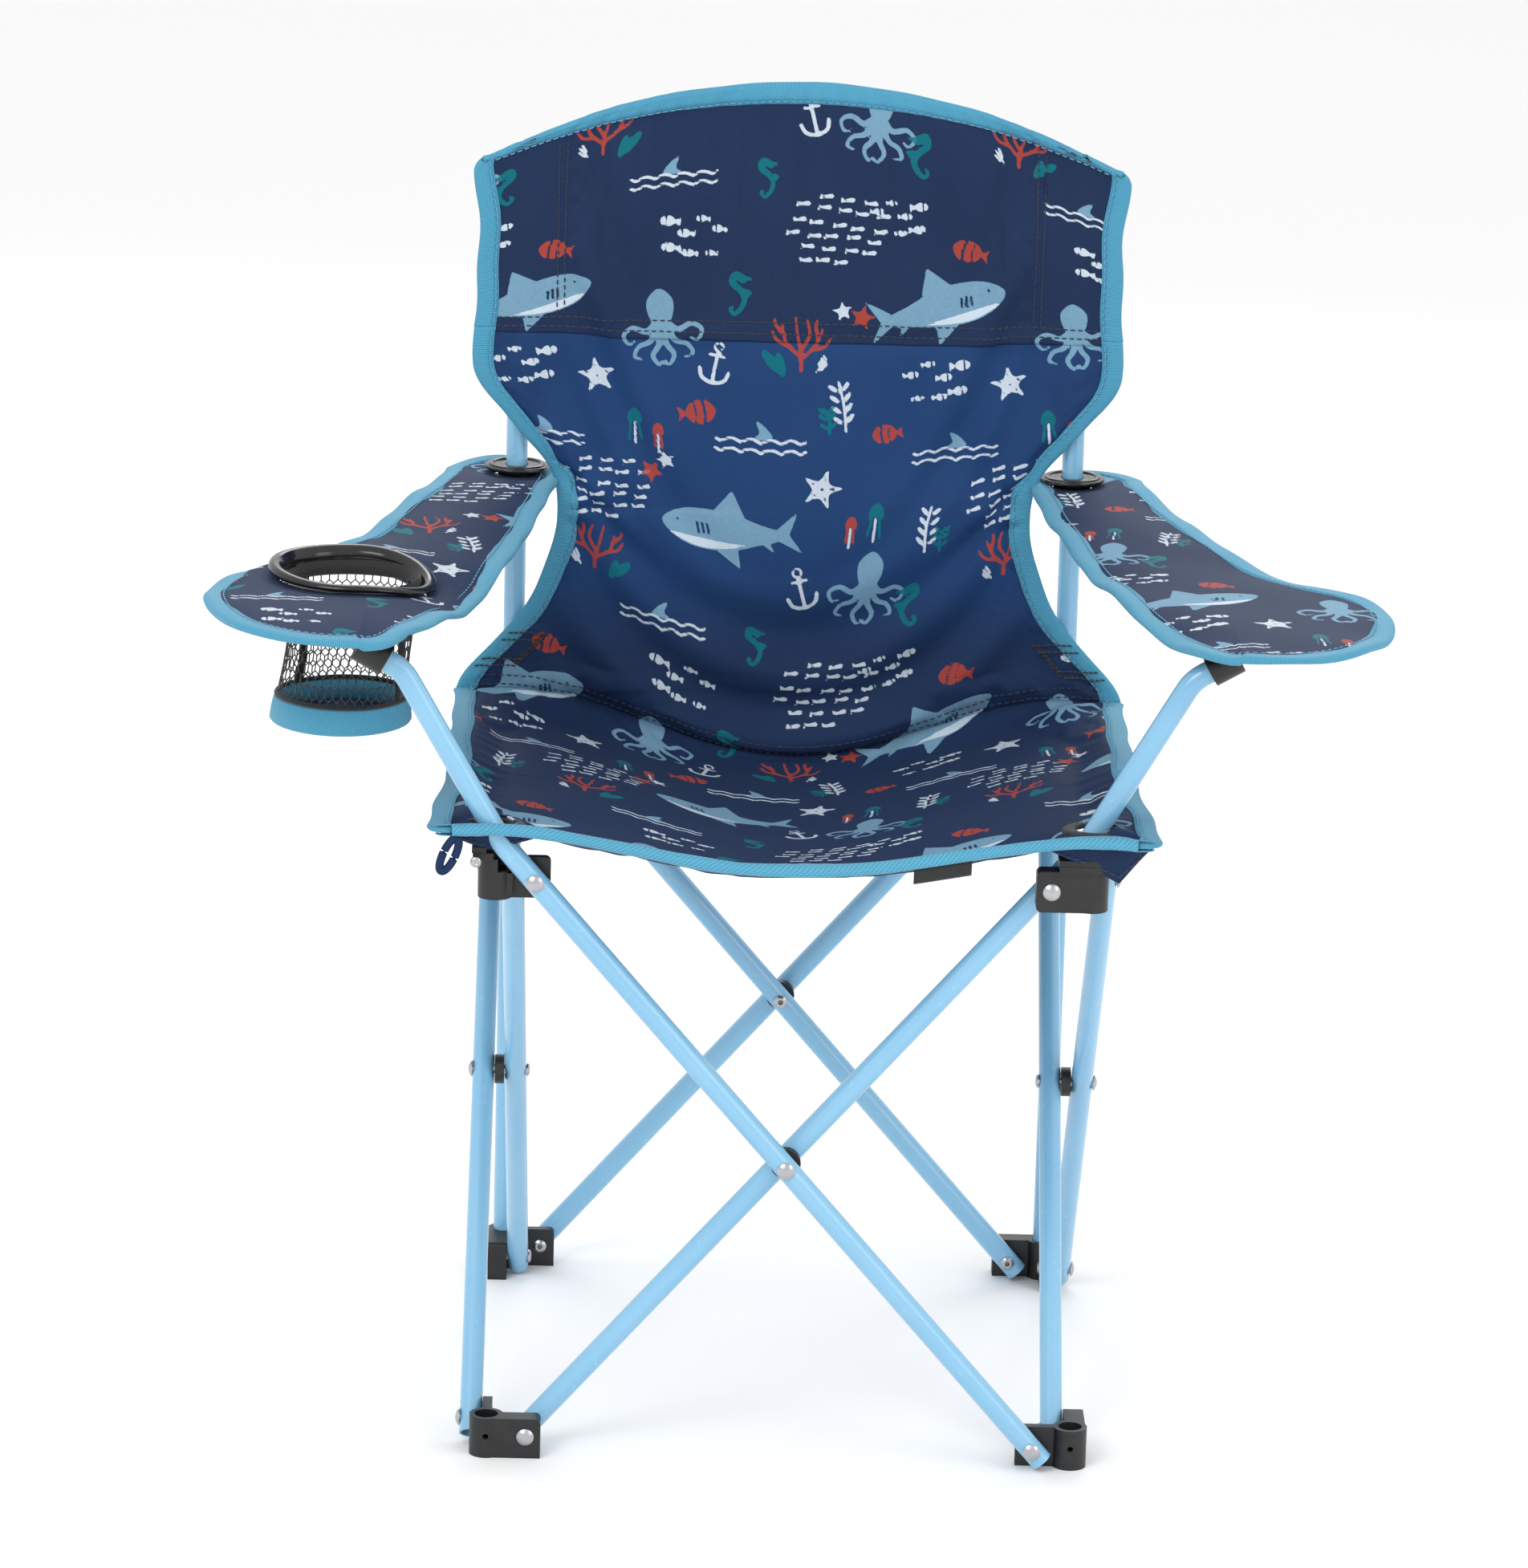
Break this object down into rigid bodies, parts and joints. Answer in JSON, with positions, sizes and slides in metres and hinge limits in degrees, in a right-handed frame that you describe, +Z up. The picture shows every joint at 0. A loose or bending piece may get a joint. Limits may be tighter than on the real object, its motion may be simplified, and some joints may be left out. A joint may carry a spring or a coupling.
{
  "type": "folding camp chair",
  "caption": "Child-size folding camp chair: cloth sling on a steel-tube cross-braced frame, with two soft armrests and a mesh cup holder.",
  "frame": {"origin": "on the ground, in the middle of the chair's width and depth", "axes": "+Z up, +Y from the front to the back, +X to the right as seen from in front (the sitter's left)"},
  "size_m": [0.618, 0.3889, 0.69],
  "materials": {
    "frame_tube": "glossy powder coat, light blue",
    "rivet_steel": "bright zinc-plated",
    "black_moulding": "satin moulded nylon",
    "gloss_moulding": "gloss moulded plastic",
    "sling_fabric": "coated plain-weave polyester with a printed pattern",
    "binding_tape": "ribbed woven tape",
    "mesh_fabric": "open hexagonal netting",
    "print_ink": "matt screen print"
  },
  "bodies": {
    "frame_rear_left": {"foot_rear_left": "black_moulding", "rivets_foot_rear_left": "rivet_steel", "post_left": "frame_tube", "post_cap_left": "black_moulding", "post_screw_left": "rivet_steel", "back_upper": "sling_fabric"},
    "tube_rear_outer": {"tube_rear_outer": "frame_tube", "rivet_crossing_rear": "rivet_steel", "spacer_rear": "black_moulding"},
    "tube_rear_inner": {"tube_rear_inner": "frame_tube"},
    "foot_rear_right": {"foot_rear_right": "black_moulding", "rivets_foot_rear_right": "rivet_steel", "post_right": "frame_tube", "post_cap_right": "black_moulding", "post_screw_right": "rivet_steel"},
    "hub_rear_right": {"hub_rear_right": "black_moulding", "rivets_hub_rear_right": "rivet_steel", "corner_pad_rear_right": "sling_fabric"},
    "hub_rear_left": {"hub_rear_left": "black_moulding", "rivets_hub_rear_left": "rivet_steel", "corner_pad_rear_left": "sling_fabric", "back_lower": "sling_fabric"},
    "tube_left_inner": {"tube_left_inner": "frame_tube", "rivet_crossing_left": "rivet_steel", "spacer_left": "black_moulding"},
    "tube_left_outer": {"tube_left_outer": "frame_tube"},
    "foot_front_left": {"foot_front_left": "black_moulding", "rivets_foot_front_left": "rivet_steel"},
    "hub_front_left": {"hub_front_left": "black_moulding", "rivets_hub_front_left": "rivet_steel", "corner_pad_front_left": "sling_fabric"},
    "tube_front_inner": {"tube_front_inner": "frame_tube", "rivet_crossing_front": "rivet_steel", "spacer_front": "black_moulding", "arm_plate_right": "black_moulding"},
    "tube_front_outer": {"tube_front_outer": "frame_tube", "arm_plate_left": "black_moulding"},
    "foot_front_right": {"foot_front_right": "black_moulding", "rivets_foot_front_right": "rivet_steel"},
    "hub_front_right": {"hub_front_right": "black_moulding", "rivets_hub_front_right": "rivet_steel", "corner_pad_front_right": "sling_fabric"},
    "tube_right_outer": {"tube_right_outer": "frame_tube", "rivet_crossing_right": "rivet_steel", "spacer_right": "black_moulding"},
    "tube_right_inner": {"tube_right_inner": "frame_tube"},
    "grommet_left": {"grommet_left": "gloss_moulding"},
    "grommet_right": {"grommet_right": "gloss_moulding"},
    "armrest_left": {"armrest_left": "sling_fabric"},
    "armrest_right": {"armrest_right": "sling_fabric"},
    "cup_holder": {"cup_rim": "gloss_moulding", "cup_basket": "sling_fabric"},
    "seat_rear": {"seat_rear": "sling_fabric"},
    "seat_front": {"seat_front": "sling_fabric"}
  },
  "joints": [
    {"name": "fold", "type": "hinge", "parent": "frame_rear_left", "child": "tube_rear_outer", "pos_m": [-0.1345, 0.1625, 0.012], "axis": [0, -1, 0], "range_deg": [0, 35], "deforming": ["back_upper", "back_lower", "seat_front", "seat_rear", "armrest_left", "armrest_right", "cup_basket"]},
    {"name": "rear_crossing", "type": "hinge", "parent": "tube_rear_outer", "child": "tube_rear_inner", "pos_m": [0, 0.1625, 0.16565], "axis": [0, 1, 0], "range_deg": [0, 70]},
    {"name": "rear_right_foot_pivot", "type": "hinge", "parent": "tube_rear_inner", "child": "foot_rear_right", "pos_m": [0.1345, 0.1625, 0.012], "axis": [0, -1, 0], "range_deg": [0, 35]},
    {"name": "rear_right_hub_pivot", "type": "hinge", "parent": "tube_rear_outer", "child": "hub_rear_right", "pos_m": [0.1345, 0.1625, 0.3193], "axis": [0, 1, 0], "range_deg": [0, 35]},
    {"name": "rear_left_hub_pivot", "type": "hinge", "parent": "tube_rear_inner", "child": "hub_rear_left", "pos_m": [-0.1345, 0.1625, 0.3193], "axis": [0, -1, 0], "range_deg": [0, 35]},
    {"name": "left_rear_foot_pivot", "type": "hinge", "parent": "frame_rear_left", "child": "tube_left_inner", "pos_m": [-0.1555, 0.1415, 0.012], "axis": [-1, 0, 0], "range_deg": [0, 35]},
    {"name": "left_crossing", "type": "hinge", "parent": "tube_left_inner", "child": "tube_left_outer", "pos_m": [-0.1555, 0.007, 0.16565], "axis": [1, 0, 0], "range_deg": [0, 70]},
    {"name": "front_left_foot_pivot", "type": "hinge", "parent": "tube_left_outer", "child": "foot_front_left", "pos_m": [-0.1555, -0.1275, 0.012], "axis": [-1, 0, 0], "range_deg": [0, 35]},
    {"name": "front_left_hub_pivot", "type": "hinge", "parent": "tube_left_inner", "child": "hub_front_left", "pos_m": [-0.1555, -0.1275, 0.3193], "axis": [1, 0, 0], "range_deg": [0, 35]},
    {"name": "front_foot_pivot", "type": "hinge", "parent": "foot_front_left", "child": "tube_front_inner", "pos_m": [-0.1345, -0.1485, 0.012], "axis": [0, -1, 0], "range_deg": [0, 35]},
    {"name": "front_crossing", "type": "hinge", "parent": "tube_front_inner", "child": "tube_front_outer", "pos_m": [0, -0.1485, 0.16565], "axis": [0, 1, 0], "range_deg": [0, 70]},
    {"name": "front_right_foot_pivot", "type": "hinge", "parent": "tube_front_outer", "child": "foot_front_right", "pos_m": [0.1345, -0.1485, 0.012], "axis": [0, -1, 0], "range_deg": [0, 35]},
    {"name": "front_right_hub_pivot", "type": "hinge", "parent": "tube_front_inner", "child": "hub_front_right", "pos_m": [0.1345, -0.1485, 0.3193], "axis": [0, 1, 0], "range_deg": [0, 35]},
    {"name": "right_rear_foot_pivot", "type": "hinge", "parent": "foot_rear_right", "child": "tube_right_outer", "pos_m": [0.1555, 0.1415, 0.012], "axis": [-1, 0, 0], "range_deg": [0, 35]},
    {"name": "right_crossing", "type": "hinge", "parent": "tube_right_outer", "child": "tube_right_inner", "pos_m": [0.1555, 0.007, 0.16565], "axis": [1, 0, 0], "range_deg": [0, 70]},
    {"name": "grommet_left_slide", "type": "slide", "parent": "frame_rear_left", "child": "grommet_left", "axis": [0, 0, 1], "range_m": [0, 0.08]},
    {"name": "grommet_right_slide", "type": "slide", "parent": "foot_rear_right", "child": "grommet_right", "axis": [0, 0, 1], "range_m": [0, 0.08]},
    {"name": "armrest_left_swing", "type": "hinge", "parent": "grommet_left", "child": "armrest_left", "pos_m": [-0.1555, 0.1625, 0.466], "axis": [-0.6458, 0.1137, 0.755], "range_deg": [0, 33.83]},
    {"name": "armrest_right_swing", "type": "hinge", "parent": "grommet_right", "child": "armrest_right", "pos_m": [0.1555, 0.1625, 0.466], "axis": [-0.6649, -0.1271, -0.7361], "range_deg": [0, 39.19]},
    {"name": "cup_gather", "type": "slide", "parent": "armrest_left", "child": "cup_holder", "axis": [0.2099, 0.9535, 0.2165], "range_m": [0, 0.16518]},
    {"name": "seat_rear_drop", "type": "hinge", "parent": "hub_rear_left", "child": "seat_rear", "pos_m": [0, 0.1484, 0.3415], "axis": [1, 0, 0], "range_deg": [0, 73.12]},
    {"name": "seat_front_drop", "type": "hinge", "parent": "hub_front_left", "child": "seat_front", "pos_m": [0, -0.1685, 0.3465], "axis": [-1, 0, 0], "range_deg": [0, 73.12]}
  ],
  "couplings": [
    {"joint": "rear_crossing", "follows": "fold", "ratio": 2},
    {"joint": "rear_right_foot_pivot", "follows": "fold", "ratio": 1},
    {"joint": "rear_right_hub_pivot", "follows": "fold", "ratio": 1},
    {"joint": "rear_left_hub_pivot", "follows": "fold", "ratio": 1},
    {"joint": "left_rear_foot_pivot", "follows": "fold", "ratio": 1},
    {"joint": "left_crossing", "follows": "fold", "ratio": 2},
    {"joint": "front_left_foot_pivot", "follows": "fold", "ratio": 1},
    {"joint": "front_left_hub_pivot", "follows": "fold", "ratio": 1},
    {"joint": "front_foot_pivot", "follows": "fold", "ratio": 1},
    {"joint": "front_crossing", "follows": "fold", "ratio": 2},
    {"joint": "front_right_foot_pivot", "follows": "fold", "ratio": 1},
    {"joint": "front_right_hub_pivot", "follows": "fold", "ratio": 1},
    {"joint": "right_rear_foot_pivot", "follows": "fold", "ratio": 1},
    {"joint": "right_crossing", "follows": "fold", "ratio": 2},
    {"joint": "grommet_left_slide", "follows": "fold", "m_per_rad": 0.13096},
    {"joint": "grommet_right_slide", "follows": "fold", "m_per_rad": 0.13096},
    {"joint": "armrest_left_swing", "follows": "fold", "ratio": 0.9667},
    {"joint": "armrest_right_swing", "follows": "fold", "ratio": 1.1197},
    {"joint": "cup_gather", "follows": "fold", "m_per_rad": 0.27041},
    {"joint": "seat_rear_drop", "follows": "fold", "ratio": 2.0893},
    {"joint": "seat_front_drop", "follows": "fold", "ratio": 2.0893}
  ]
}
